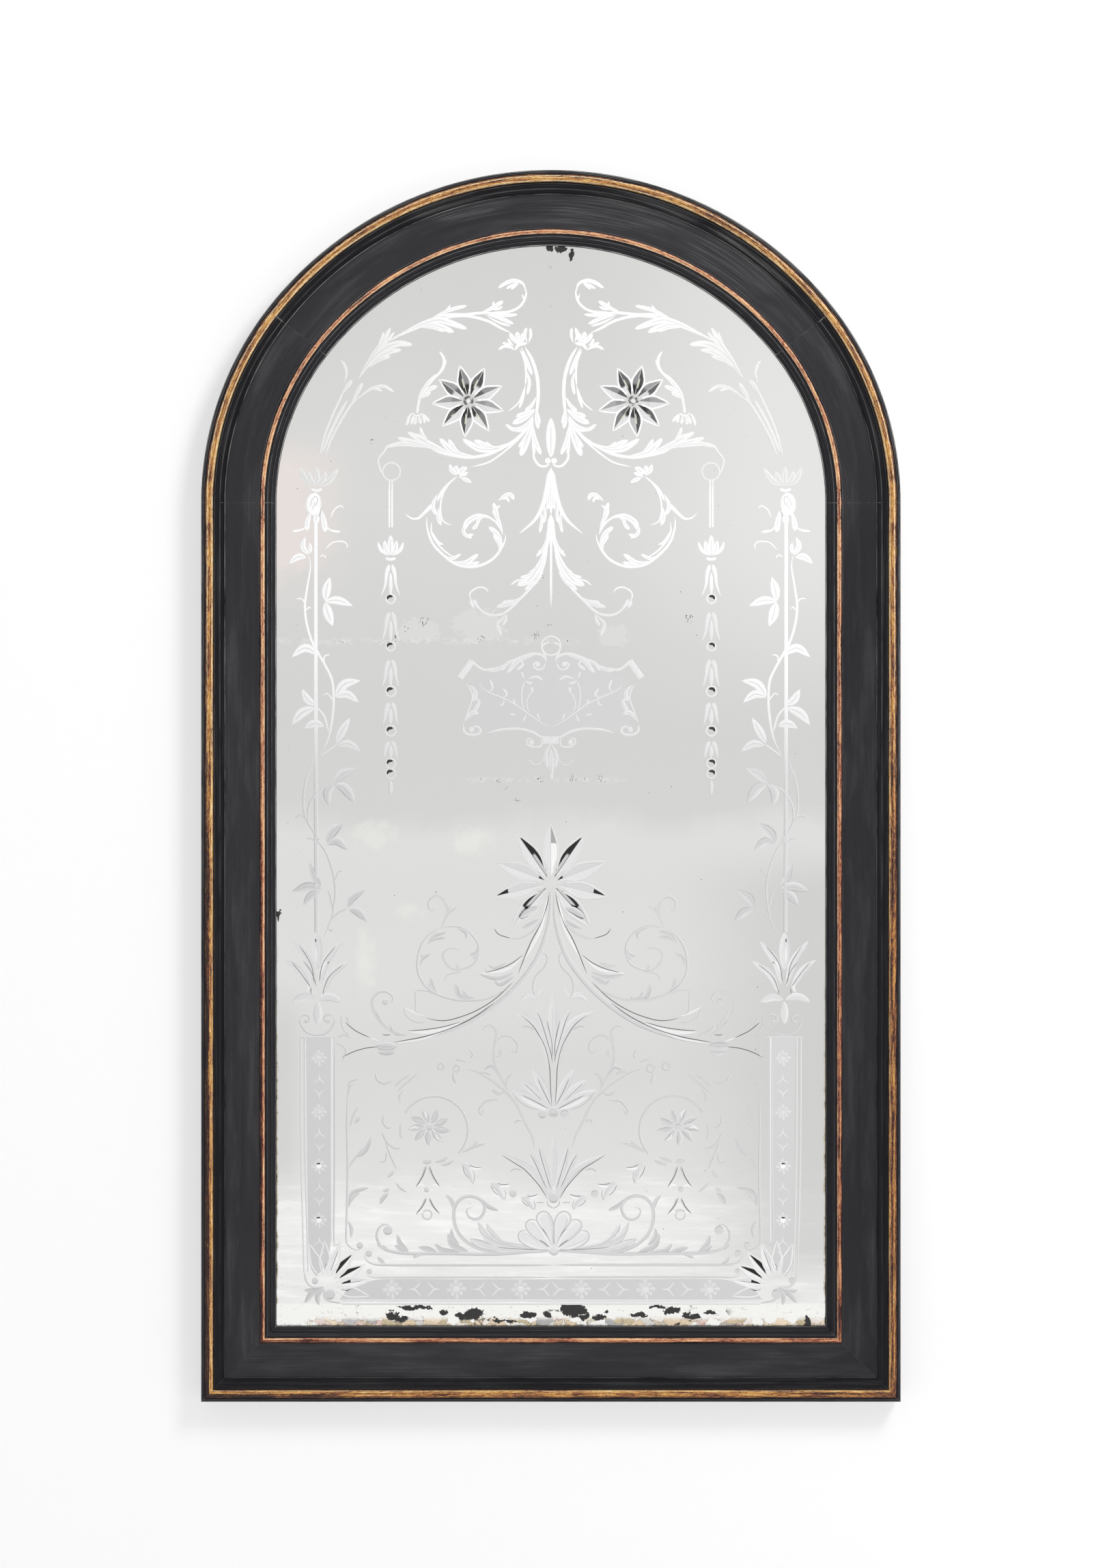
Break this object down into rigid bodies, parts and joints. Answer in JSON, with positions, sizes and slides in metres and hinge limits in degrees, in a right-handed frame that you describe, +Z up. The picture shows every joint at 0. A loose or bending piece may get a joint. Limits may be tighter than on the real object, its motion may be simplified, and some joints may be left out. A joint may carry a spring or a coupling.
{
  "type": "arched wall mirror",
  "caption": "Arched wall mirror: ebonised wooden frame with gilt beads around a silvered glass plate with wheel-cut stars, hung by rings on its boarded back.",
  "frame": {"origin": "on the rear face of the back boards, on the centre line, level with the springing of the arch", "axes": "+Z up, +Y towards the wall, so the glass faces -Y; +X to the right of someone facing the glass"},
  "size_m": [1.168, 0.0606, 2.0569],
  "materials": {
    "ebonised_wood": "satin black stain with brush marks",
    "gilding": "worn gold leaf over red bole",
    "mirror_glass": "aged silvered glass",
    "backing_paint": "silver film under red-brown paint",
    "pine": "bare aged pine",
    "steel": "dull steel",
    "brass": "tarnished brass",
    "cork": "cork"
  },
  "bodies": {
    "frame": {"left_stile_carcass": "ebonised_wood", "right_stile_carcass": "ebonised_wood", "left_haunch_carcass": "ebonised_wood", "right_haunch_carcass": "ebonised_wood", "bottom_rail_carcass": "ebonised_wood", "crown_carcass": "ebonised_wood", "left_stile_edge_strip": "ebonised_wood", "right_stile_edge_strip": "ebonised_wood", "left_haunch_edge_strip": "ebonised_wood", "right_haunch_edge_strip": "ebonised_wood", "bottom_rail_edge_strip": "ebonised_wood", "crown_edge_strip": "ebonised_wood", "left_stile_gilt_bead": "gilding", "right_stile_gilt_bead": "gilding", "left_haunch_gilt_bead": "gilding", "right_haunch_gilt_bead": "gilding", "bottom_rail_gilt_bead": "gilding", "crown_gilt_bead": "gilding", "left_stile_cove": "ebonised_wood", "right_stile_cove": "ebonised_wood", "left_haunch_cove": "ebonised_wood", "right_haunch_cove": "ebonised_wood", "bottom_rail_cove": "ebonised_wood", "crown_cove": "ebonised_wood", "left_stile_gilt_slip": "gilding", "right_stile_gilt_slip": "gilding", "left_haunch_gilt_slip": "gilding", "right_haunch_gilt_slip": "gilding", "bottom_rail_gilt_slip": "gilding", "crown_gilt_slip": "gilding", "left_stile_sight_moulding": "ebonised_wood", "right_stile_sight_moulding": "ebonised_wood", "left_haunch_sight_moulding": "ebonised_wood", "right_haunch_sight_moulding": "ebonised_wood", "bottom_rail_sight_moulding": "ebonised_wood", "crown_sight_moulding": "ebonised_wood", "joint_tongues": "pine", "mirror_plate": "mirror_glass", "silvering": "backing_paint", "glass_blocks": "pine", "back_board_1": "pine", "back_board_2": "pine", "back_board_3": "pine", "back_board_4": "pine", "back_board_5": "pine", "back_board_6": "pine", "back_board_7": "pine", "back_board_8": "pine", "board_screws": "steel", "hanger_screws": "steel", "left_hanger_plate": "brass", "right_hanger_plate": "brass", "wall_bumpers": "cork"},
    "left_ring": {"left_hanger_ring": "brass"},
    "right_ring": {"right_hanger_ring": "brass"}
  },
  "joints": [
    {"name": "left_ring_swing", "type": "hinge", "parent": "frame", "child": "left_ring", "pos_m": [-0.532, 0.0055, -0.12], "axis": [1, 0, 0], "range_deg": [0, 180]},
    {"name": "right_ring_swing", "type": "hinge", "parent": "frame", "child": "right_ring", "pos_m": [0.532, 0.0055, -0.12], "axis": [1, 0, 0], "range_deg": [0, 180]}
  ]
}
